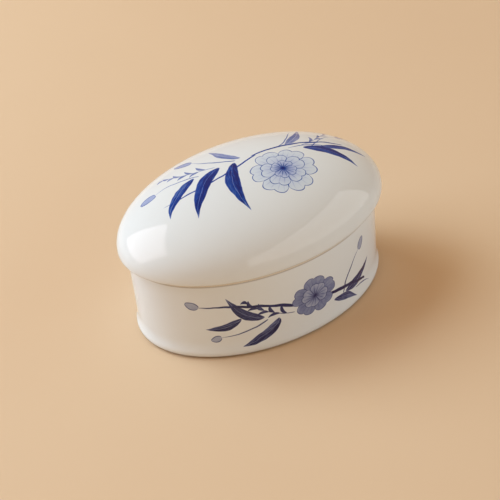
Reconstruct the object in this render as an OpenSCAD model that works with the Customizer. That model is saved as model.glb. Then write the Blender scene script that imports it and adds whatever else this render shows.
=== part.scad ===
// Oval porcelain seal paste box: a footed bowl with a locating collar, a domed lid that lifts
// straight off, and the mound of paste inside. The origin is the centre of the foot on the table,
// X runs along the oval's length and Z points up.

/* [Oval] */
// Length of the box at the lid's widest line
box_length = 95; // [80:1:130]
// Width of the box at the lid's widest line
box_width = 66; // [58:1:90]

/* [Base] */
// Height of the shoulder that the lid rests on
shoulder_height = 31; // [26:0.5:40]
// How far the wall stands inside the lid's widest line, at the ends
wall_inset = 2.9; // [1.5:0.1:5]
// Thickness of the wall under the shoulder
wall_thickness = 3.6; // [3:0.1:5]
// Thickness of the floor under the paste
floor_thickness = 3.4; // [2:0.1:5]
// Radius between the bowl's wall and its floor
bowl_corner = 9; // [4:0.5:12]
// Radius that breaks the shoulder's outer edge
shoulder_round = 0.35; // [0.2:0.05:0.8]

/* [Foot] */
// How far the foot stands out past the wall, at the ends
foot_flare = 0.8; // [0.4:0.1:2]
// Radius of the foot's rounded edge
foot_round = 2.4; // [1.5:0.1:3.5]
// Radius of the hollow curve that runs from the wall out to the foot
flare_round = 12; // [6:0.5:20]
// Width of the unglazed ring that stands on the table
ring_width = 3.2; // [2:0.1:5]
// Depth of the hollow inside the ring
ring_depth = 1.6; // [1:0.1:2.5]
// Radius of the ring's inner edge and of the hollow's corner
ring_round = 0.7; // [0.3:0.05:0.9]

/* [Collar] */
// Height of the collar above the shoulder
collar_height = 4; // [3:0.1:6]
// Thickness of the collar
collar_thickness = 1.6; // [1.4:0.1:2]
// Radius of the collar's top edges
collar_round = 0.6; // [0.3:0.05:0.6]
// Gap between the collar and the lid's mouth
lid_clearance = 0.4; // [0.3:0.05:0.6]

/* [Lid] */
// Height of the lid from the shoulder to its crown
lid_height = 21; // [18:0.5:28]
// Height of the widest line above the lid's lower face
tuck_height = 2; // [1:0.1:4]
// Thickness of the lid at its crown
crown_thickness = 3.2; // [2.4:0.1:4]
// Straight height of the mouth above the collar
mouth_spare = 0.6; // [0.4:0.1:1.5]
// Radius at the mouth's lower edge
mouth_round = 0.5; // [0.3:0.05:0.8]

/* [Paste] */
// Height of the paste's upright side, above its rounded underside
paste_side = 1; // [0.5:0.5:4]
// Rise of the mound above its widest line
mound_rise = 9; // [5:0.5:10]
// Gap between the paste and the bowl's wall
paste_clearance = 0.3; // [0.3:0.05:0.6]

/* [Hidden] */
$fn = 96;

porcelain = "#e9e7e1";
paste_red = "#b3221c";

// Half lengths and half widths of the ovals
lid_a = box_length / 2;
lid_b = box_width / 2;
wall_a = lid_a - wall_inset;
wall_b = wall_a * lid_b / lid_a;
bowl_a = wall_a - wall_thickness;
bowl_b = wall_b - wall_thickness;
collar_a = bowl_a + collar_thickness;
collar_b = bowl_b + collar_thickness;
mouth_a = collar_a + lid_clearance;
mouth_b = collar_b + lid_clearance;
paste_a = bowl_a - paste_clearance;
paste_b = bowl_b - paste_clearance;
foot_a = wall_a + foot_flare;
sole_a = foot_a - foot_round;
sole_b = sole_a * lid_b / lid_a;
hollow_a = sole_a - ring_width;
hollow_b = sole_b - ring_width;

// Heights
floor_top = ring_depth + floor_thickness;
collar_top = shoulder_height + collar_height;
widest_line = shoulder_height + tuck_height;
crown = shoulder_height + lid_height;
mouth_top = collar_top + mouth_spare;
paste_line = floor_top + bowl_corner + paste_side;

// The foot's edge and the hollow curve above it touch where both turn by this angle
flare_turn = acos(1 - foot_flare / (flare_round + foot_round));
flare_top = foot_round + (flare_round + foot_round) * sin(flare_turn);
// A cut runs past the face that it opens by this much
past = 1;

// Turns a half section into a solid, in two halves, with Y scaled by squash and Z by rise
module oval_turn(squash, rise) {
    for (side = [0, 180])
        scale([1, squash, rise]) rotate(side) rotate_extrude(angle = 180) children();
}

// Turns a half section into an oval solid of half length a and half width b
module oval(a, b) {
    oval_turn(b / a, 1) children();
}

// A half section as wide as a from bottom to top, with its upper outer corner rounded
module round_top(a, bottom, top, r) {
    translate([0, bottom]) square([a - r, top - bottom]);
    translate([0, bottom]) square([a, top - bottom - r]);
    translate([a - r, top - r]) circle(r);
}

// The same with its lower outer corner rounded
module round_bottom(a, bottom, top, r) {
    translate([0, bottom]) square([a - r, top - bottom]);
    translate([0, bottom + r]) square([a, top - bottom - r]);
    translate([a - r, bottom + r]) circle(r);
}

// Half section of the cut that rounds over the upper edge of an opening of half length a
module upper_edge_cut(a, z, r) {
    difference() {
        translate([a - past, z - r]) square(past + r);
        translate([a + r, z - r]) circle(r);
    }
}

// The same for the lower edge of an opening
module lower_edge_cut(a, z, r) {
    difference() {
        translate([a - past, z - past]) square(past + r);
        translate([a + r, z + r]) circle(r);
    }
}

// Upper half of an ellipsoid of half length a and half width b, h high
module oval_dome(a, b, h) {
    oval_turn(b / a, h / a) intersection() {
        circle(a);
        square(a);
    }
}

// A slice of half length a and half width b, h high, whose edge tucks under by inset
module oval_tuck(a, b, h, inset) {
    oval_turn(b / a, h / inset) {
        translate([0, -inset]) square([a - inset, inset]);
        intersection() {
            translate([a - inset, 0]) circle(inset);
            translate([a - inset, -inset]) square(inset);
        }
    }
}

// Outline of the wall, the hollow curve and the foot's rounded edge
module base_outline() {
    round_top(wall_a, foot_round, shoulder_height, shoulder_round);
    difference() {
        polygon([
            [0, 0],
            [sole_a, 0],
            [sole_a + foot_round * cos(flare_turn), foot_round * (1 + sin(flare_turn))],
            [wall_a, flare_top],
            [0, flare_top]
        ]);
        translate([wall_a + flare_round, flare_top]) circle(flare_round);
    }
    translate([sole_a, foot_round]) circle(foot_round);
}

module box_base() {
    color(porcelain) difference() {
        union() {
            oval(wall_a, wall_b) base_outline();
            oval(collar_a, collar_b)
                round_top(collar_a, shoulder_height - past, collar_top, collar_round);
        }
        oval(bowl_a, bowl_b) {
            round_bottom(bowl_a, floor_top, collar_top + past, bowl_corner);
            upper_edge_cut(bowl_a, collar_top, collar_round);
        }
        oval(hollow_a, hollow_b) {
            round_top(hollow_a, -past, ring_depth, ring_round);
            lower_edge_cut(hollow_a, 0, ring_round);
        }
    }
}

module domed_lid() {
    color(porcelain) difference() {
        translate([0, 0, widest_line]) {
            oval_dome(lid_a, lid_b, crown - widest_line);
            oval_tuck(lid_a, lid_b, tuck_height, wall_inset);
        }
        oval(mouth_a, mouth_b) {
            translate([0, shoulder_height - past]) square([mouth_a, mouth_top - shoulder_height + past]);
            lower_edge_cut(mouth_a, shoulder_height, mouth_round);
        }
        translate([0, 0, mouth_top])
            oval_dome(mouth_a, mouth_b, crown - crown_thickness - mouth_top);
    }
}

module seal_paste() {
    color(paste_red) {
        oval(paste_a, paste_b) round_bottom(paste_a, floor_top, paste_line, bowl_corner);
        translate([0, 0, paste_line]) oval_dome(paste_a, paste_b, mound_rise);
    }
}

box_base();
domed_lid();
seal_paste();
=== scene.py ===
import math
import bpy
from mathutils import Matrix, Quaternion, Vector, noise


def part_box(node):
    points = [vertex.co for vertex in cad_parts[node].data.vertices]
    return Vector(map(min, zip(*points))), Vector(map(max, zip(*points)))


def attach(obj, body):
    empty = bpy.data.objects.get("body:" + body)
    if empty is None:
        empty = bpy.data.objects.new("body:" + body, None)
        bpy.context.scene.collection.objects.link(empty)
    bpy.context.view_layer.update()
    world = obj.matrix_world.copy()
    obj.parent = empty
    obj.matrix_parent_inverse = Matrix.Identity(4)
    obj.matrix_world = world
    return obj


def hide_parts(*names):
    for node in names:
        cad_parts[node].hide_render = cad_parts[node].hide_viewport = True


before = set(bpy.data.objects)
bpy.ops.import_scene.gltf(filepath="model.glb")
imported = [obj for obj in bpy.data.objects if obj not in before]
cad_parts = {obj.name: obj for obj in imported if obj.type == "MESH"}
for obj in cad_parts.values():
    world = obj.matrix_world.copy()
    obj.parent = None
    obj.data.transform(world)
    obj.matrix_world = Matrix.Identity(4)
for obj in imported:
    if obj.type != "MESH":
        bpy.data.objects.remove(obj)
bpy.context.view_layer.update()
mm = 0.001

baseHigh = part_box("box_base")[1]
lidLow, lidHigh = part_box("domed_lid")
pasteLow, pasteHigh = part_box("seal_paste")
halfLength = lidHigh.x  # the lid's widest oval sets both outer bodies
halfWidth = lidHigh.y
seatHeight = lidLow.z  # the shoulder that the lid rests on
sideRatio = halfWidth / halfLength


class Wire:
    # One output of a node, so that node maths reads as plain expressions
    def __init__(self, desk, node, output=0):
        self.desk = desk
        self.node = node
        self.socket = node.outputs[output]

    def out(self, name):
        return Wire(self.desk, self.node, name)

    def maths(self, operation, *others, clamp=False):
        return self.desk.maths(operation, self, *others, clamp=clamp)

    def __add__(self, other):
        return self.maths("ADD", other)

    def __radd__(self, other):
        return self.maths("ADD", other)

    def __sub__(self, other):
        return self.maths("SUBTRACT", other)

    def __rsub__(self, other):
        return self.desk.maths("SUBTRACT", other, self)

    def __mul__(self, other):
        return self.maths("MULTIPLY", other)

    def __rmul__(self, other):
        return self.maths("MULTIPLY", other)

    def __truediv__(self, other):
        return self.maths("DIVIDE", other)

    def __pow__(self, other):
        return self.maths("POWER", other)

    def __abs__(self):
        return self.maths("ABSOLUTE")


class Desk:
    # Builds one node tree
    def __init__(self, tree):
        self.tree = tree

    def add(self, kind, settings=None, sockets=None, output=0):
        node = self.tree.nodes.new(kind)
        for name, value in (settings or {}).items():
            if name == "stops":
                self.setStops(node.color_ramp, value)
            else:
                setattr(node, name, value)
        entries = sockets.items() if isinstance(sockets, dict) else enumerate(sockets or [])
        for name, value in entries:
            if isinstance(value, Wire):
                self.tree.links.new(value.socket, node.inputs[name])
            elif value is not None:
                node.inputs[name].default_value = value
        return Wire(self, node, output) if node.outputs else None

    def setStops(self, ramp, stops):
        while len(ramp.elements) > 1:
            ramp.elements.remove(ramp.elements[-1])
        for index, (place, colour) in enumerate(stops):
            element = ramp.elements[0] if index == 0 else ramp.elements.new(place)
            element.position = place
            element.color = (*colour, 1)

    def maths(self, operation, *values, clamp=False):
        return self.add("ShaderNodeMath", {"operation": operation, "use_clamp": clamp}, list(values))

    def mixColour(self, factor, first, second):
        settings = {"data_type": "RGBA", "clamp_factor": True}
        return self.add("ShaderNodeMix", settings, {0: factor, 6: first, 7: second}, 2)

    def mixValue(self, factor, first, second):
        return self.add("ShaderNodeMix", {"data_type": "FLOAT"}, {0: factor, 2: first, 3: second})

    def noise(self, place, scale, detail=2.0):
        return self.add("ShaderNodeTexNoise", None, {"Vector": place, "Scale": scale, "Detail": detail})


def clearDesk(owner):
    # An empty node tree for a material or the world
    owner.use_nodes = True
    owner.node_tree.nodes.clear()
    return Desk(owner.node_tree)


# Section curves of the turned bodies, each row (half length, half width, height, bare clay, outside)
rowSettings = {
    "support": 0.15 * mm,
    "widestSupport": 0.2,  # the share of a short flat that it may take
    "mergeDistance": 0.001 * mm,
    "swayRounds": 1.1,  # how often the unevenness changes round the oval
    "swayRise": 30,  # and how fast with height
}


def arcPoints(centre, radii, start, end, steps):
    turns = [math.radians(start + (end - start) * step / steps) for step in range(steps + 1)]
    return [(centre[0] + radii[0] * math.cos(turn), centre[1] + radii[1] * math.sin(turn)) for turn in turns]


def roundPoints(centre, radius, start, end, steps):
    return arcPoints(centre, (radius, radius), start, end, steps)


def straightPoints(start, end, steps):
    # A row close to each end keeps the flat between them flat
    run = (end[0] - start[0], end[1] - start[1])
    edge = min(rowSettings["support"] / math.hypot(*run), rowSettings["widestSupport"])
    shares = [edge] + [edge + (1 - 2 * edge) * step / steps for step in range(1, steps)] + [1 - edge]
    return [(start[0] + run[0] * share, start[1] + run[1] * share) for share in shares]


def rowsOf(points, ratio, bare=0.0, outside=0.0):
    return [(x, x * ratio, z, bare, outside) for x, z in points]


def buildTurnTree():
    tree = bpy.data.node_groups.new("turnOnOval", "GeometryNodeTree")
    tree.interface.new_socket("Section", in_out="INPUT", socket_type="NodeSocketGeometry")
    tree.interface.new_socket("Points Around", in_out="INPUT", socket_type="NodeSocketInt")
    tree.interface.new_socket("Sway", in_out="INPUT", socket_type="NodeSocketFloat")
    tree.interface.new_socket("Finish", in_out="INPUT", socket_type="NodeSocketMaterial")
    tree.interface.new_socket("Body", in_out="OUTPUT", socket_type="NodeSocketGeometry")
    desk = Desk(tree)
    given = desk.add("NodeGroupInput")
    section, around = given.out("Section"), given.out("Points Around")
    rows = desk.add("GeometryNodeAttributeDomainSize", {"component": "MESH"}, [section])
    sheet = desk.add("GeometryNodeMeshGrid", None, {"Vertices X": around + 1, "Vertices Y": rows})
    index = desk.add("GeometryNodeInputIndex") + 0.5
    column = (index / rows).maths("FLOOR")
    row = (index - column * rows).maths("FLOOR")
    turn = column / around * math.tau

    def fromSection(kind, value):
        settings = {"data_type": kind, "domain": "POINT"}
        sockets = {"Geometry": section, "Value": value, "Index": row}
        return desk.add("GeometryNodeSampleIndex", settings, sockets)

    def named(name):
        return desk.add("GeometryNodeInputNamedAttribute", {"data_type": "FLOAT"}, {"Name": name})

    place = fromSection("FLOAT_VECTOR", desk.add("GeometryNodeInputPosition"))
    spot = desk.add("ShaderNodeSeparateXYZ", None, [place])
    across, along = turn.maths("SINE"), turn.maths("COSINE")
    ring = desk.add("ShaderNodeCombineXYZ", None, [along, across, spot.out("Z") * rowSettings["swayRise"]])
    uneven = desk.noise(ring, rowSettings["swayRounds"], 1.0)
    shrink = 1 - given.out("Sway") * uneven  # only ever inward, so the body keeps its real size
    spotSockets = [spot * along * shrink, spot.out("Y") * across * shrink * -1, spot.out("Z")]
    body = desk.add("GeometryNodeSetPosition", None,
                    {"Geometry": sheet, "Position": desk.add("ShaderNodeCombineXYZ", None, spotSockets)})
    for name in ("bareClay", "outside"):
        body = desk.add("GeometryNodeStoreNamedAttribute", {"data_type": "FLOAT", "domain": "POINT"},
                        {"Geometry": body, "Name": name, "Value": fromSection("FLOAT", named(name))})
    body = desk.add("GeometryNodeMergeByDistance", None,
                    {"Geometry": body, "Distance": rowSettings["mergeDistance"]})
    body = desk.add("GeometryNodeSetShadeSmooth", None, {"Geometry": body})
    body = desk.add("GeometryNodeRealizeInstances", None, {"Geometry": body})
    body = desk.add("GeometryNodeSetMaterial", None, {"Geometry": body, "Material": given.out("Finish")})
    desk.add("NodeGroupOutput", None, [body])
    return tree


turnTree = buildTurnTree()


def turnOnOval(name, rows, finish, pointsAround, sway):
    sectionMesh = bpy.data.meshes.new(name + "Section")
    sectionMesh.from_pydata([row[:3] for row in rows], [(i, i + 1) for i in range(len(rows) - 1)], [])
    for column, attributeName in ((3, "bareClay"), (4, "outside")):
        attribute = sectionMesh.attributes.new(attributeName, "FLOAT", "POINT")
        attribute.data.foreach_set("value", [row[column] for row in rows])
    piece = bpy.data.objects.new(name, sectionMesh)
    bpy.context.scene.collection.objects.link(piece)
    modifier = piece.modifiers.new("turned", "NODES")
    modifier.node_group = turnTree
    values = {"Points Around": pointsAround, "Sway": sway, "Finish": finish}
    for item in turnTree.interface.items_tree:
        if item.in_out == "INPUT" and item.name in values:
            modifier[item.identifier] = values[item.name]
    bpy.context.view_layer.update()
    evaluated = piece.evaluated_get(bpy.context.evaluated_depsgraph_get())
    finished = bpy.data.meshes.new_from_object(evaluated)
    finished.name = name
    piece.modifiers.remove(modifier)
    piece.data = finished
    bpy.data.meshes.remove(sectionMesh)
    print("turned", name, len(finished.polygons), "faces")
    return piece


# The brush painting, in millimetres: every mark is a density from 0 to 1, and the densest mark wins
brushSettings = {
    "lineEdge": 0.16,  # how wide the edge of a line fades
    "lineWeight": 0.35,  # the density at its very edge
    "leafEdge": 0.22,
    "leafWeight": 0.45,
    "leafHead": 0.7,  # the lower, the blunter
    "leafTip": 1.15,
    "paleSide": 0.82,  # the drier half of a leaf
    "veins": 6,
    "veinSlant": 1.3,
    "veinWidth": 0.13,
    "veinShare": 0.5,  # a side vein's strength against the middle rib's
    "ribWidth": 0.14,
    "scratch": 0.5,  # how much ink the veins take away
    "streaks": (2.2, 3.4, 1),  # dry streaks along a leaf and across it
    "budHead": 0.5,
    "budTip": 0.7,
    "budLine": 0.16,
    "budOutline": 0.75,
    "budWash": 0.3,
    "stemWidth": 0.16,
    "stemShape": (0.15, 0.6),  # head and tip
    "sprigStart": 0.16,
    "sprigEnd": 0.96,
    "dabAngle": 42,
    "dabTurn": 14,  # how much the dabs close up towards the tip
    "dabShrink": 0.5,
    "dabBow": 0.12,
    "dabShape": (0.7, 0.9),
    "petalOutline": 0.72,
    "petalStreak": 0.22,
    "endFade": 40,  # the higher, the shorter a mark fades at its two ends
}


class Brush:
    def __init__(self, desk, place):
        self.desk = desk
        self.place = place
        self.ink = None

    def lay(self, density):
        self.ink = density if self.ink is None else self.ink.maths("MAXIMUM", density)

    def framed(self, centre, turn, size):
        # The painting's coordinates as one mark sees them
        sockets = {"Vector": self.place, "Location": (*centre, 0), "Rotation": (0, 0, turn),
                   "Scale": (*size, 1)}
        return self.desk.add("ShaderNodeMapping", {"vector_type": "TEXTURE"}, sockets)

    def ribbon(self, start, end, halfWidth):
        run = Vector(end) - Vector(start)
        return self.framed(start, math.atan2(run.y, run.x), (run.length, halfWidth))

    def strip(self, local, halfWidth, bow):
        # s and rest run from 0 to 1 along the mark and back, side is 1 at half its width
        s = self.desk.add("ShaderNodeSeparateXYZ", None, [local])
        rest = 1 - s
        between = s * rest
        side = between.maths("MULTIPLY_ADD", -4 * bow / halfWidth, s.out("Y"))
        return s, rest, side, between.maths("MULTIPLY", brushSettings["endFade"], clamp=True)

    def swell(self, s, rest, head, tip):
        # 0 at both ends and 1 where the mark is widest
        peak = head / (head + tip)
        return s ** head * rest ** tip * (1 / (peak ** head * (1 - peak) ** tip))

    def line(self, start, end, halfWidth, bow, density, head, tip):
        given = brushSettings
        s, rest, side, within = self.strip(self.ribbon(start, end, halfWidth), halfWidth, bow)
        depth = self.swell(s, rest, head, tip) - abs(side)
        inside = depth.maths("MULTIPLY_ADD", halfWidth / given["lineEdge"], given["lineWeight"], clamp=True)
        self.lay(inside * within * density)

    def leaf(self, start, end, halfWidth, bow, density):
        given = brushSettings
        local = self.ribbon(start, end, halfWidth)
        s, rest, side, within = self.strip(local, halfWidth, bow)
        away = abs(side)
        depth = self.swell(s, rest, given["leafHead"], given["leafTip"]) - away
        inside = depth.maths("MULTIPLY_ADD", halfWidth / given["leafEdge"], given["leafWeight"], clamp=True)
        rib = away.maths("MULTIPLY_ADD", -halfWidth / given["ribWidth"], 1.0, clamp=True)
        slant = (s * given["veins"] - away * given["veinSlant"]).maths("FRACT") - 0.5
        spacing = math.dist(start, end) / given["veins"]
        vein = abs(slant).maths("MULTIPLY_ADD", -spacing / given["veinWidth"], 1.0, clamp=True)
        veined = rib.maths("MAXIMUM", vein * given["veinShare"])
        scratched = veined.maths("MULTIPLY_ADD", -given["scratch"], 1.0)
        sockets = {"Vector": local, "Location": (*start, 0), "Scale": given["streaks"]}
        streak = self.desk.noise(self.desk.add("ShaderNodeMapping", None, sockets), 1.0, 3.0)
        half = side.maths("MULTIPLY_ADD", 1.2, 0.5, clamp=True)
        tone = self.desk.mixValue(half, density * given["paleSide"], density)
        self.lay(inside * within * tone * scratched * (0.5 + streak))

    def bud(self, start, end, halfWidth, bow):
        given = brushSettings
        s, rest, side, within = self.strip(self.ribbon(start, end, halfWidth), halfWidth, bow)
        depth = (self.swell(s, rest, given["budHead"], given["budTip"]) - abs(side)) * halfWidth
        rim = abs(depth).maths("MULTIPLY_ADD", -1 / given["budLine"], 1.5, clamp=True)
        inside = depth.maths("MULTIPLY_ADD", 4.0, 0.5, clamp=True)
        self.lay((rim * given["budOutline"]).maths("MAXIMUM", inside * given["budWash"]) * within)

    def sprig(self, start, end, bow, density, dabs, reach, halfWidth):
        # A thin stem with dabs in turn on both sides, shorter towards the tip
        given = brushSettings
        self.line(start, end, given["stemWidth"], bow, density, *given["stemShape"])
        run = Vector(end) - Vector(start)
        across = Vector((-run.y, run.x)).normalized()
        for dab in range(dabs):
            s = given["sprigStart"] + (given["sprigEnd"] - given["sprigStart"]) * dab / (dabs - 1)
            hand = 1 if dab % 2 else -1
            foot = Vector(start) + run * s + across * (4 * bow * s * (1 - s))
            ahead = run.normalized()
            ahead.rotate(Matrix.Rotation(hand * math.radians(given["dabAngle"] - given["dabTurn"] * s), 2))
            tip = foot + ahead * reach * (1 - given["dabShrink"] * s)
            self.line(foot, tip, halfWidth, -given["dabBow"] * hand * reach, density, *given["dabShape"])

    def petals(self, angle, reach, radius, ring):
        # The marks of one ring of petals, and 1 inside their outline
        size, count, lineWidth = radius * ring["size"], ring["petals"], ring["line"]
        cell = (angle * (count / math.tau) + ring["offset"]).maths("FRACT")
        edge = abs(cell * 2 - 1)  # 0 in the middle of a petal, 1 between two petals
        middle = 1 - edge
        limit = (1 - ring["dip"] * edge ** 4 - ring["notch"] * middle ** 6) * size
        depth = limit - reach
        rim = abs(depth).maths("MULTIPLY_ADD", -1 / lineWidth, 1.5, clamp=True)
        fold = (middle * reach).maths("MULTIPLY_ADD", -math.pi / count / lineWidth, 1.3, clamp=True)
        fans = count * ring["fans"] / math.tau
        fan = abs((angle * fans).maths("FRACT") - 0.5) * reach
        streak = fan.maths("MULTIPLY_ADD", -1 / fans / brushSettings["petalStreak"], 1.0, clamp=True)
        heart = (1 - reach / size).maths("MAXIMUM", 0.0)
        wash = heart.maths("MULTIPLY_ADD", ring["heart"], ring["wash"]) + streak * heart * ring["streak"]
        marks = (rim.maths("MAXIMUM", fold) * brushSettings["petalOutline"]).maths("MAXIMUM", wash)
        return marks, depth.maths("MULTIPLY_ADD", 1 / lineWidth, 1.0, clamp=True)

    def blossom(self, centre, radius, squash, lean, rings):
        local = self.framed(centre, math.radians(lean), (1, squash))
        spot = self.desk.add("ShaderNodeSeparateXYZ", None, [local])
        angle = spot.out("Y").maths("ARCTAN2", spot)
        reach = self.desk.add("ShaderNodeVectorMath", {"operation": "LENGTH"}, [local], "Value")
        flower, cover = self.petals(angle, reach, radius, rings[0])
        for ring in rings[1:]:
            marks, inside = self.petals(angle, reach, radius, ring)
            flower = self.desk.mixValue(inside, flower, marks)
            cover = inside.maths("MAXIMUM", cover)
        self.ink = self.desk.mixValue(cover, self.ink, flower)  # the petals hide the twig behind them

    def paint(self, design):
        for row in design["lines"]:
            self.line(*row)
        for row in design["leaves"]:
            self.leaf(*row)
        for row in design["buds"]:
            self.bud(*row)
        for row in design["sprigs"]:
            self.sprig(*row)
        for row in design["blossoms"]:
            self.blossom(*row, design["petalRings"])
        return self.ink


# Lines and leaves give start, end, half width, bow and density, and lines add head and tip. Buds give
# start, end, half width and bow. Sprigs give start, end, bow, density, dabs, their reach and half width.
# Blossoms give centre, radius, squash and lean.
lidPainting = {
    "lines": [
        ((36, -2.5), (3, 2.6), 0.42, -2.6, 0.85, 0.25, 0.2),
        ((30, -3.4), (16, 0.8), 0.26, -1.2, 0.7, 0.3, 0.5),
        ((5, 2.6), (-31, 0), 0.36, 2.8, 0.8, 0.1, 0.5),
        ((-2, 3.6), (-13, 15.5), 0.24, 1.6, 0.6, 0.2, 0.6),
        ((13, 3), (24, 13), 0.24, -1.2, 0.62, 0.2, 0.6),
        ((-15, 4), (-30, 9), 0.22, -1.3, 0.6, 0.2, 0.6),
        ((24, -1.5), (38, 5), 0.2, 1.2, 0.6, 0.2, 0.7),
    ],
    "leaves": [
        ((-3, 3), (-10, -19), 2.3, -2.4, 1.0),
        ((-8, 4), (-25, -12.5), 2.2, -2.4, 1.0),
        ((-17, 4.6), (-32, -6), 1.7, -1.6, 0.92),
        ((21, -1), (34, -14), 1.9, 2.0, 1.0),
        ((26, -2.6), (41, -8), 1.3, 1.4, 0.9),
        ((0, 3.6), (-5, 17.5), 1.5, 1.6, 0.5),
        ((16, 3), (28, 14.5), 1.5, -1.6, 0.52),
    ],
    "buds": [
        ((-12.5, 15), (-17, 19), 1.5, 0.2),
        ((-29.5, 8.8), (-35, 9.2), 1.5, -0.2),
        ((37.2, 4.6), (41.4, 5.4), 1.2, 0.2),
    ],
    "sprigs": [
        ((20, 0.2), (36, 9.5), -1.5, 0.5, 7, 5.0, 0.55),
        ((-9, 5), (-24, 15), 1.4, 0.46, 8, 5.0, 0.55),
    ],
    "blossoms": [((8.5, -9), 11.6, 0.88, 20)],
    "petalRings": [
        {"size": 1.0, "petals": 6, "offset": 0.1, "dip": 0.24, "notch": 0.1, "line": 0.19, "fans": 5,
         "wash": 0.07, "heart": 0.16, "streak": 0.35},
        {"size": 0.7, "petals": 5, "offset": 0.6, "dip": 0.26, "notch": 0.12, "line": 0.17, "fans": 4,
         "wash": 0.1, "heart": 0.2, "streak": 0.4},
        {"size": 0.4, "petals": 4, "offset": 0.2, "dip": 0.3, "notch": 0.14, "line": 0.15, "fans": 4,
         "wash": 0.16, "heart": 0.3, "streak": 0.8},
    ],
    "stops": [
        (0.0, (1.0, 1.0, 1.0)),
        (0.1, (0.82, 0.88, 0.98)),
        (0.28, (0.46, 0.53, 0.81)),
        (0.45, (0.25, 0.31, 0.6)),
        (0.62, (0.055, 0.15, 0.47)),
        (0.8, (0.0, 0.06, 0.375)),
        (1.0, (0.0, 0.02, 0.2)),
    ],
}

# On the base the first number runs round the wall from the middle of the front, the second is the height
basePainting = {
    "lines": [
        ((28, 7), (0, 12), 0.62, -2.0, 0.95, 0.2, 0.2),
        ((2, 12), (-36, 21.5), 0.56, -2.6, 0.92, 0.1, 0.5),
        ((-13, 12.8), (-29, 9), 0.28, 1.2, 0.78, 0.2, 0.6),
        ((15, 9), (25, 21), 0.28, 1.6, 0.78, 0.2, 0.6),
        ((22, 7), (31, 4.4), 0.2, 0.6, 0.7, 0.3, 0.7),
    ],
    "leaves": [
        ((-9, 12), (-22, 3.8), 1.9, 1.8, 0.95),
        ((-14, 13.6), (-26, 24.4), 1.8, 1.6, 0.9),
        ((-21, 15.4), (-34, 12.6), 1.4, 1.2, 0.9),
        ((16, 9), (31, 14.4), 1.8, -1.6, 0.95),
        ((11, 8.6), (22, 3.4), 1.5, 0.9, 0.85),
    ],
    "buds": [
        ((-35.4, 21.4), (-40, 23), 1.3, 0.2),
        ((24.7, 20.4), (27.4, 24.6), 1.3, 0.2),
        ((-28.6, 9), (-32.6, 8), 1.2, 0.2),
    ],
    "sprigs": [
        ((-4, 12), (-19, 21.5), 1.4, 0.8, 8, 5.2, 0.6),
    ],
    "blossoms": [((3.5, 15), 8.2, 0.9, -12)],
    "petalRings": [
        {"size": 1.0, "petals": 5, "offset": 0.1, "dip": 0.24, "notch": 0.1, "line": 0.22, "fans": 5,
         "wash": 0.42, "heart": 0.1, "streak": 0.3},
        {"size": 0.6, "petals": 4, "offset": 0.6, "dip": 0.26, "notch": 0.12, "line": 0.2, "fans": 4,
         "wash": 0.32, "heart": 0.2, "streak": 0.5},
    ],
    "stops": [
        (0.0, (1.0, 1.0, 1.0)),
        (0.14, (0.76, 0.79, 0.9)),
        (0.45, (0.24, 0.27, 0.46)),
        (0.62, (0.14, 0.155, 0.32)),
        (0.8, (0.046, 0.052, 0.165)),
        (1.0, (0.018, 0.019, 0.095)),
    ],
}

porcelainSettings = {
    "bodyColour": (0.757, 0.79, 0.81, 1),
    "cloudColour": (0.742, 0.778, 0.804, 1),
    "clayColour": (0.62, 0.55, 0.45, 1),
    "paleClayColour": (0.74, 0.67, 0.57, 1),
    "burntLineAndShadeColour": (0.17, 0.105, 0.055, 1),  # the fine brown line where the glaze ends, darkened to be painted shade in the seam under the lid and along the foot's contact with the floor
    "burntLineAndShadeStrength": 0.9,
    "cloudScale": 38.0,
    "gritScale": 2600.0,
    "waverScale": 120.0,  # the brush's unsteady hand
    "waver": 2.0,
    "poolScale": 420.0,  # where the colour pools, fine and broad
    "poolShare": 0.56,
    "wetScale": 130.0,
    "wetShare": 0.44,
    "leastInk": 0.5,
    "unrollRadius": 42,  # millimetres from the box's axis to the wall, on average
    "glazeRoughness": 0.008,  # where it is smoothest
    "glossScale": 60.0,
    "glossSpread": 0.012,
    "clayRoughness": 0.7,
    "refraction": 1.46,
    "rippleScale": 45.0,  # the glaze's slow waves
    "ripple": 0.5,
    "grainScale": 900.0,
    "grain": 0.003,
    "clayGrain": 0.5,
    "bumpStrength": 0.5,
    "bumpDepth": 0.12 * mm,
}


def lidPlace(desk, place):
    return desk.add("ShaderNodeVectorMath", {"operation": "MULTIPLY"}, [place, (1 / mm, 1 / mm, 0)])


def wallPlace(desk, place):
    # Unrolls the wall: distance round it from the middle of the front, and height
    spot = desk.add("ShaderNodeSeparateXYZ", None, [place])
    turn = spot.maths("ARCTAN2", spot.out("Y") * (-wallA / wallB))
    distance = turn * porcelainSettings["unrollRadius"]
    return desk.add("ShaderNodeCombineXYZ", None, [distance, spot.out("Z") / mm])


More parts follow.
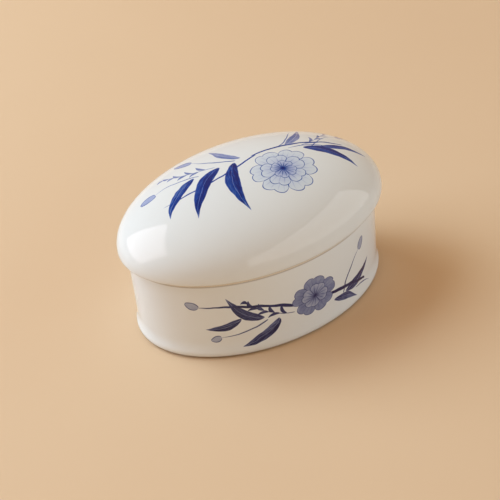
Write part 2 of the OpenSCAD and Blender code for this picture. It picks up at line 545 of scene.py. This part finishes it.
def makePorcelain(name, placeOf, design):
    given = porcelainSettings
    material = bpy.data.materials.new(name)
    desk = clearDesk(material)
    place = desk.add("ShaderNodeTexCoord", None, None, "Object")
    bare = desk.add("ShaderNodeAttribute", {"attribute_name": "bareClay"}, None, "Fac")
    outside = desk.add("ShaderNodeAttribute", {"attribute_name": "outside"}, None, "Fac")
    hand = desk.add("ShaderNodeTexNoise", None,
                    {"Vector": place, "Scale": given["waverScale"], "Detail": 2.0}, "Color")
    waver = desk.add("ShaderNodeVectorMath", {"operation": "SUBTRACT"}, [hand, (0.5, 0.5, 0.5)])
    waver = desk.add("ShaderNodeVectorMath", {"operation": "MULTIPLY"},
                     [waver, (given["waver"], given["waver"], 0)])
    drawn = desk.add("ShaderNodeVectorMath", {"operation": "ADD"}, [placeOf(desk, place), waver])
    ink = Brush(desk, drawn).paint(design)
    pool, wet = desk.noise(place, given["poolScale"], 3.0), desk.noise(place, given["wetScale"])
    ink = ink * (given["leastInk"] + pool * given["poolShare"] + wet * given["wetShare"]) * outside
    paint = desk.add("ShaderNodeValToRGB", {"stops": design["stops"]}, [ink])
    cloud = desk.noise(place, given["cloudScale"], 3.0)
    porcelain = desk.mixColour(cloud, given["bodyColour"], given["cloudColour"])
    glazed = desk.add("ShaderNodeMix", {"data_type": "RGBA", "blend_type": "MULTIPLY"},
                      {0: 1.0, 6: porcelain, 7: paint}, 2)
    grit = desk.noise(place, given["gritScale"])
    clay = desk.mixColour(grit, given["clayColour"], given["paleClayColour"])
    burntLineAndShade = (1 - abs(bare * 2 - 1)) * given["burntLineAndShadeStrength"]  # strongest half way from glaze to clay: a real brown line, darkened as painted shade at the seam and the foot
    colour = desk.mixColour(burntLineAndShade, desk.mixColour(bare, glazed, clay), given["burntLineAndShadeColour"])
    gloss = given["glazeRoughness"] + desk.noise(place, given["glossScale"]) * given["glossSpread"]
    roughness = desk.mixValue(bare, gloss, given["clayRoughness"])
    ripple = desk.noise(place, given["rippleScale"], 1.0) * given["ripple"]
    ripple = ripple + desk.noise(place, given["grainScale"]) * given["grain"]
    relief = desk.mixValue(bare, ripple, grit * given["clayGrain"])
    bump = desk.add("ShaderNodeBump", None,
                    {"Strength": given["bumpStrength"], "Distance": given["bumpDepth"], "Height": relief})
    glaze = {"Base Color": colour, "Roughness": roughness, "Normal": bump, "IOR": given["refraction"]}
    shader = desk.add("ShaderNodeBsdfPrincipled", None, glaze)
    desk.add("ShaderNodeOutputMaterial", None, [shader])
    print("material", name, len(material.node_tree.nodes), "nodes")
    return material


# The two porcelain bodies: what each is given, and the sizes that they share
lidSettings = {
    "wallInset": 2.9 * mm,
    "tuckHeight": 2.0 * mm,
    "seatEdge": 0.1 * mm,  # from the glaze on the tuck to the bare seat
    "crownThickness": 3.2 * mm,
    "mouthGap": 2.0 * mm,  # from the bowl's wall out to the lid's mouth
    "mouthSpare": 0.6 * mm,  # from the collar's top up to where the hollow starts
    "mouthRound": 0.5 * mm,
    "domeSteps": 56,
    "tuckSteps": 14,
    "mouthSteps": 6,
    "hollowSteps": 44,
    "around": 288,
    "sway": 0.0016,
}
baseSettings = {
    "wallThickness": 3.6 * mm,
    "bowlCorner": 9.0 * mm,
    "shoulderRound": 0.35 * mm,
    # The glaze's edge under the shoulder draws a dark brown line: partly the real bare edge, partly painted
    # shade where the lid's rim meets the wall
    "bareBand": 1.1 * mm,  # how far below the shoulder the glaze is wiped off
    "burntAndShadeBand": 0.1 * mm,  # how far below that the brown line of clay and painted shade ends
    "thinBand": 0.4 * mm,  # and the thin glaze
    "thinGlaze": 0.2,  # how far the clay shows through it
    "footFlare": 0.8 * mm,
    "footRound": 2.4 * mm,
    "footGlazeEnd": -46,  # degrees round the foot's edge, level at 0 and down at -90
    # The brown ring round the foot's lower edge: partly a real glaze edge, partly painted shade where the
    # foot meets the floor
    "footBurntAndShade": (-50, -68),
    "footClayStart": -74,
    "flareRound": 12.0 * mm,
    "ringWidth": 3.2 * mm,
    "ringDepth": 1.6 * mm,
    "ringRound": 0.7 * mm,
    "collarThickness": 1.6 * mm,
    "collarRound": 0.6 * mm,
    "flatSteps": 8,
    "bowlSteps": 16,
    "edgeSteps": 6,
    "wallSteps": 14,
    "around": 288,
    "sway": 0.0012,
}
floorTop = pasteLow.z  # of the bowl
collarTop = baseHigh.z
wallA = halfLength - lidSettings["wallInset"]
wallB = wallA * sideRatio
bowlA = wallA - baseSettings["wallThickness"]
bowlB = wallB - baseSettings["wallThickness"]


# Lid: dome, tucked edge, unglazed seat, mouth and hollow
def makeLid():
    given = lidSettings
    mouthA, mouthB = bowlA + given["mouthGap"], bowlB + given["mouthGap"]
    mouthRatio = mouthB / mouthA
    widest = seatHeight + given["tuckHeight"]
    mouthTop = collarTop + given["mouthSpare"]
    innerRise = lidHigh.z - given["crownThickness"] - mouthTop
    edge = given["mouthRound"]
    tuck = (given["wallInset"], given["tuckHeight"])
    dome = arcPoints((0, widest), (halfLength, lidHigh.z - widest), 90, 0, given["domeSteps"])
    turnedIn = arcPoints((wallA, widest), tuck, 0, -90, given["tuckSteps"])
    rim = roundPoints((mouthA + edge, seatHeight + edge), edge, -90, -180, given["mouthSteps"])
    mouth = straightPoints((mouthA, seatHeight + edge), (mouthA, mouthTop), 3)
    hollow = arcPoints((0, mouthTop), (mouthA, innerRise), 0, 90, given["hollowSteps"])
    rows = rowsOf(dome + turnedIn[1:], sideRatio, 0, 1)
    rows += rowsOf([(wallA - given["seatEdge"], seatHeight)], sideRatio, 1, 0)
    rows += rowsOf([(mouthA + edge, seatHeight)] + rim[1:] + mouth, mouthRatio, 1)
    rows += rowsOf(hollow, mouthRatio)
    finish = makePorcelain("lidGlaze", lidPlace, lidPainting)
    return turnOnOval("lidShell", rows, finish, given["around"], given["sway"])


lidShell = makeLid()
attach(lidShell, "lid")
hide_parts("domed_lid")


# Base: glazed bowl, unglazed collar and shoulder, wall, foot and hollow underside
def makeBowlRows(given, collarA, collarRatio):
    # From the middle of the bowl's floor up its side, over the collar and down to the shoulder
    corner, lip, edgeSteps = given["bowlCorner"], given["collarRound"], given["edgeSteps"]
    shoulder = given["shoulderRound"]
    flat = straightPoints((0, floorTop), (bowlA - corner, floorTop), given["flatSteps"])
    turnedUp = roundPoints((bowlA - corner, floorTop + corner), corner, -90, 0, given["bowlSteps"])
    side = straightPoints((bowlA, floorTop + corner), (bowlA, collarTop - lip), 6)
    innerLip = roundPoints((bowlA + lip, collarTop - lip), lip, 180, 90, edgeSteps)
    outerLip = roundPoints((collarA - lip, collarTop - lip), lip, 90, 0, edgeSteps)
    collar = straightPoints((collarA, collarTop - lip), (collarA, seatHeight), 4)
    shoulderEdge = roundPoints((wallA - shoulder, seatHeight - shoulder), shoulder, 90, 0, edgeSteps)
    rows = rowsOf([(0, floorTop)] + flat[1:] + turnedUp + side + innerLip, bowlB / bowlA)
    rows += rowsOf(outerLip + collar + [(collarA, seatHeight)], collarRatio, 1)
    rows += rowsOf(shoulderEdge, sideRatio, 1)
    return rows


def makeWallRows(given):
    # From the wiped band under the shoulder down to the sole
    foot, flare = given["footRound"], given["flareRound"]
    soleA = wallA + given["footFlare"] - foot
    flareTurn = math.degrees(math.acos(1 - given["footFlare"] / (flare + foot)))
    flareTop = foot + (flare + foot) * math.sin(math.radians(flareTurn))
    glazeTop = seatHeight - given["bareBand"]
    thin = [(wallA, glazeTop - given["burntAndShadeBand"]), (wallA, glazeTop - given["thinBand"])]
    wall = straightPoints(thin[-1], (wallA, flareTop), given["wallSteps"])
    flaring = roundPoints((wallA + flare, flareTop), flare, 180, 180 + flareTurn, 8)
    glazedFoot = roundPoints((soleA, foot), foot, flareTurn, given["footGlazeEnd"], 14)
    burntAndShadedFoot = roundPoints((soleA, foot), foot, *given["footBurntAndShade"], 4)
    bareFoot = roundPoints((soleA, foot), foot, given["footClayStart"], -90, 4)
    # A dark brown line under the lid's rim, partly the glaze's real edge and partly painted shade
    rows = rowsOf([(wallA, glazeTop)], sideRatio, 1)
    rows += rowsOf(thin, sideRatio, given["thinGlaze"])
    rows += rowsOf(wall + flaring + glazedFoot[1:], sideRatio, 0, 1)
    # The foot's brown ring, darkened as painted contact shade
    rows += rowsOf(burntAndShadedFoot, sideRatio, 0.5)
    rows += rowsOf(bareFoot, sideRatio, 1)
    return rows, soleA


def makeHollowRows(given, soleA):
    # From the foot ring's inner edge to the middle of the underside
    ringRound, depth, edgeSteps = given["ringRound"], given["ringDepth"], given["edgeSteps"]
    hollowA, hollowB = soleA - given["ringWidth"], soleA * sideRatio - given["ringWidth"]
    hollowRatio = hollowB / hollowA
    ringEdge = roundPoints((hollowA + ringRound, ringRound), ringRound, -90, -180, edgeSteps)
    hollowEdge = roundPoints((hollowA - ringRound, depth - ringRound), ringRound, 0, 90, edgeSteps)
    under = straightPoints((hollowA - ringRound, depth), (0, depth), given["flatSteps"])
    rows = rowsOf([(hollowA + ringRound, 0)] + ringEdge[1:], hollowRatio, 1)
    rows += rowsOf(hollowEdge + under[:-1] + [(0, depth)], hollowRatio)
    return rows


def makeBase():
    given = baseSettings
    collarA, collarB = bowlA + given["collarThickness"], bowlB + given["collarThickness"]
    rows = makeBowlRows(given, collarA, collarB / collarA)
    wallRows, soleA = makeWallRows(given)
    rows += wallRows + makeHollowRows(given, soleA)
    finish = makePorcelain("baseGlaze", wallPlace, basePainting)
    return turnOnOval("baseBowl", rows, finish, given["around"], given["sway"])


baseBowl = makeBase()
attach(baseBowl, "base")
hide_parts("box_base")


# Paste: a stirred mound of red paste that fills the bowl
pasteSettings = {
    "gap": 0.05 * mm,  # between the paste and the bowl's side
    "side": 1.0 * mm,  # the upright strip between the bowl's corner and the mound
    "moundSteps": 70,
    "around": 256,
    "sway": 0.0,
    "foldDepth": 1.5 * mm,
    "folds": 2.3,
    "foldReach": 8,  # the higher, the nearer the folds run to the edge
    "foldHeart": 5,  # and to the middle
    "lumpDepth": 0.5 * mm,
    "lumpScale": 90,
    "settleReach": 12,  # the higher, the narrower the level edge
    "pasteStops": [
        (0.3, (0.42, 0.008, 0.004)),
        (0.5, (0.62, 0.018, 0.008)),
        (0.7, (0.76, 0.045, 0.016)),
    ],
    "clotScale": 240.0,
    "fibreScale": 1500.0,
    "clotShare": 0.55,
    "bumpStrength": 0.8,
    "bumpDepth": 0.3 * mm,
    "oilRoughness": 0.28,
    "oilSpread": 0.2,
}


def makePasteFinish(given):
    material = bpy.data.materials.new("redPaste")
    desk = clearDesk(material)
    place = desk.add("ShaderNodeTexCoord", None, None, "Object")
    clot, fibre = desk.noise(place, given["clotScale"], 4.0), desk.noise(place, given["fibreScale"], 4.0)
    shade = clot * given["clotShare"] + fibre * (1 - given["clotShare"])
    colour = desk.add("ShaderNodeValToRGB", {"stops": given["pasteStops"]}, [shade])
    relief = clot + fibre * 0.5
    bump = desk.add("ShaderNodeBump", None,
                    {"Strength": given["bumpStrength"], "Distance": given["bumpDepth"], "Height": relief})
    roughness = given["oilRoughness"] + fibre * given["oilSpread"]
    shader = desk.add("ShaderNodeBsdfPrincipled", None,
                      {"Base Color": colour, "Roughness": roughness, "Normal": bump})
    desk.add("ShaderNodeOutputMaterial", None, [shader])
    return material


def makePaste():
    given = pasteSettings
    corner = baseSettings["bowlCorner"]
    pasteA, pasteB = bowlA - given["gap"], bowlB - given["gap"]
    line = floorTop + corner + given["side"]
    top = arcPoints((0, line), (pasteA, pasteHigh.z - line), 90, 0, given["moundSteps"])
    side = straightPoints((pasteA, line), (pasteA, floorTop + corner), 2)
    under = roundPoints((pasteA - corner, floorTop + corner), corner, 0, -90, 12)
    rows = rowsOf(top + side + under + [(0, floorTop)], pasteB / pasteA)
    mound = turnOnOval("pasteMound", rows, makePasteFinish(given), given["around"], given["sway"])
    for vertex in mound.data.vertices:
        spot = vertex.co
        if spot.z > line:
            reach = math.hypot(spot.x / pasteA, spot.y / pasteB)
            turn = math.atan2(spot.y / pasteB, spot.x / pasteA)
            swirl = 0.5 + 0.5 * math.sin(turn * 2 + reach * given["folds"] * math.tau)
            lumps = 0.5 + 0.5 * noise.fractal(spot * given["lumpScale"], 0.9, 2.1, 4)
            fade = min(1, (1 - reach) * given["foldReach"]) * min(1, reach * given["foldHeart"])
            settle = min(1, (1 - reach) * given["settleReach"])  # none at the very edge
            spot.z -= (given["foldDepth"] * swirl ** 2 * fade + given["lumpDepth"] * lumps) * settle
    mound.data.update()
    return mound


pasteMound = makePaste()
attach(pasteMound, "base")
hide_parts("seal_paste")


# Floor, lamps and camera
stageSettings = {
    "floorSize": 6.0,
    "floorCloud": 14.0,
    "floorRoughness": 0.85,
    "floorShine": 0.2,
    "floorColour": (0.727, 0.534, 0.356, 1),
    "floorDeepColour": (0.709, 0.518, 0.343, 1),
    "worldColour": (1.0, 0.56, 0.2, 1),
    "worldStrength": 0.49,
    "backdropColour": (0.72, 0.53, 0.35, 1),  # what the camera sees past the floor
    "fade": (0.4, 0.9),  # metres from the box where the floor begins and ends to pass into it
    "target": (0, 0, 0.025),  # the middle of the box, where the lamps are measured from
    # turn, climb and distance say where a lamp hangs as seen from the box, face and lean which way its back
    # points. One that lights falls on the colours, and one that is mirrored shows in the glaze.
    "lamps": {
        "softbox": {
            "turn": 143.5, "climb": 30, "distance": 1.1, "face": 143.5, "lean": 30, "roll": -8,
            "size": (0.88, 1.1), "radiance": (2.45, 3.17, 3.9), "lights": True, "mirrored": False,
        },
        "softGlint": {
            "turn": 147.4, "climb": 31.1, "distance": 1.08, "face": 147.4, "lean": 31.1, "roll": -11,
            "size": (0.92, 0.96), "radiance": (2.9, 2.6, 2.7), "lights": False, "mirrored": True,
        },
        "upperBox": {
            "turn": 122, "climb": 48, "distance": 1.1, "face": 122, "lean": 48, "roll": 0,
            "size": (0.6, 0.6), "radiance": (3.15, 4.15, 4.55), "lights": True, "mirrored": False,
        },
        "frontCard": {
            "turn": -74.2, "climb": 18.1, "distance": 0.963, "face": -34, "lean": 0, "roll": 0,
            "size": (1.82, 0.61), "radiance": (0.62, 1.1, 1.42), "lights": True, "mirrored": False,
        },
        "cardGlint": {
            "turn": -74.2, "climb": 18.1, "distance": 0.943, "face": -34, "lean": 0, "roll": 0,
            "size": (1.82, 0.61), "radiance": (1.4, 1.42, 1.42), "lights": False, "mirrored": True,
        },
    },
}
cameraSettings = {
    "place": (-0.1490085, -0.2909933, 0.2619292),
    "right": (0.8557948, -0.5090234, -0.0922521),
    "up": (0.3712282, 0.4800820, 0.7948024),
    "lens": 86.4,
    "sensor": 36,
}


def makeFloor():
    half = stageSettings["floorSize"] / 2
    corners = [(-half, -half, 0), (half, -half, 0), (half, half, 0), (-half, half, 0)]
    mesh = bpy.data.meshes.new("floor")
    mesh.from_pydata(corners, [], [(0, 1, 2, 3)])
    floor = bpy.data.objects.new("floor", mesh)
    bpy.context.scene.collection.objects.link(floor)
    material = bpy.data.materials.new("paperFloor")
    desk = clearDesk(material)
    place = desk.add("ShaderNodeTexCoord", None, None, "Object")
    cloud = desk.noise(place, stageSettings["floorCloud"], 4.0)
    colour = desk.mixColour(cloud, stageSettings["floorColour"], stageSettings["floorDeepColour"])
    paper = {"Base Color": colour, "Roughness": stageSettings["floorRoughness"],
             "Specular IOR Level": stageSettings["floorShine"]}
    shader = desk.add("ShaderNodeBsdfPrincipled", None, paper)
    # Past the lamps' reach the camera sees the floor pass into the backdrop
    reach = desk.add("ShaderNodeVectorMath", {"operation": "LENGTH"}, [place], "Value")
    near, far = stageSettings["fade"]
    faded = ((reach - near) / (far - near)).maths("SMOOTH_MIN", 1.0, 0.2).maths("MAXIMUM", 0.0)
    seen = desk.add("ShaderNodeEmission", None, [stageSettings["backdropColour"], 1.0])
    direct = desk.add("ShaderNodeLightPath", None, None, "Is Camera Ray")
    mixed = desk.add("ShaderNodeMixShader", None, [faded * direct, shader, seen])
    desk.add("ShaderNodeOutputMaterial", None, [mixed])
    material.cycles.emission_sampling = "NONE"
    mesh.materials.append(material)


def directionOf(turn, climb):
    flat = math.cos(climb)
    return Vector((math.cos(turn) * flat, math.sin(turn) * flat, math.sin(climb)))


def makeLamps():
    for name, given in stageSettings["lamps"].items():
        angles = [math.radians(given[key]) for key in ("turn", "climb", "face", "lean", "roll")]
        turn, climb, face, lean, roll = angles
        width, height = given["size"]
        brightness = max(given["radiance"])
        lamp = bpy.data.lights.new(name, "AREA")
        lamp.shape = "RECTANGLE"
        lamp.size, lamp.size_y = width, height
        lamp.energy = brightness * math.pi * width * height
        lamp.color = [channel / brightness for channel in given["radiance"]]
        holder = bpy.data.objects.new(name, lamp)
        holder.location = Vector(stageSettings["target"]) + directionOf(turn, climb) * given["distance"]
        facing = directionOf(face, lean).to_track_quat("Z", "Y")
        holder.rotation_euler = (facing @ Quaternion((0, 0, 1), roll)).to_euler()
        holder.visible_camera = False
        holder.visible_diffuse = given["lights"]
        holder.visible_glossy = given["mirrored"]
        bpy.context.scene.collection.objects.link(holder)


def makeWorld():
    world = bpy.data.worlds.new("studio")
    desk = clearDesk(world)
    room = [stageSettings["worldColour"], stageSettings["worldStrength"]]
    light = desk.add("ShaderNodeBackground", None, room)
    seen = desk.add("ShaderNodeBackground", None, [stageSettings["backdropColour"], 1.0])
    direct = desk.add("ShaderNodeLightPath", None, None, "Is Camera Ray")
    mixed = desk.add("ShaderNodeMixShader", None, [direct, light, seen])
    desk.add("ShaderNodeOutputWorld", None, [mixed])
    bpy.context.scene.world = world


def makeCamera():
    right, up = Vector(cameraSettings["right"]), Vector(cameraSettings["up"])
    back = right.cross(up)
    camera = bpy.data.objects.new("camera", bpy.data.cameras.new("camera"))
    camera.data.lens = cameraSettings["lens"]
    camera.data.sensor_width = cameraSettings["sensor"]
    camera.data.clip_start, camera.data.clip_end = 0.01, 50
    turned = Matrix((right, up, back)).transposed().to_4x4()
    camera.matrix_world = Matrix.Translation(cameraSettings["place"]) @ turned
    bpy.context.scene.collection.objects.link(camera)
    bpy.context.scene.camera = camera


makeFloor()
makeLamps()
makeWorld()
makeCamera()
bpy.context.scene.view_settings.view_transform = "Standard"
print("stage ready")
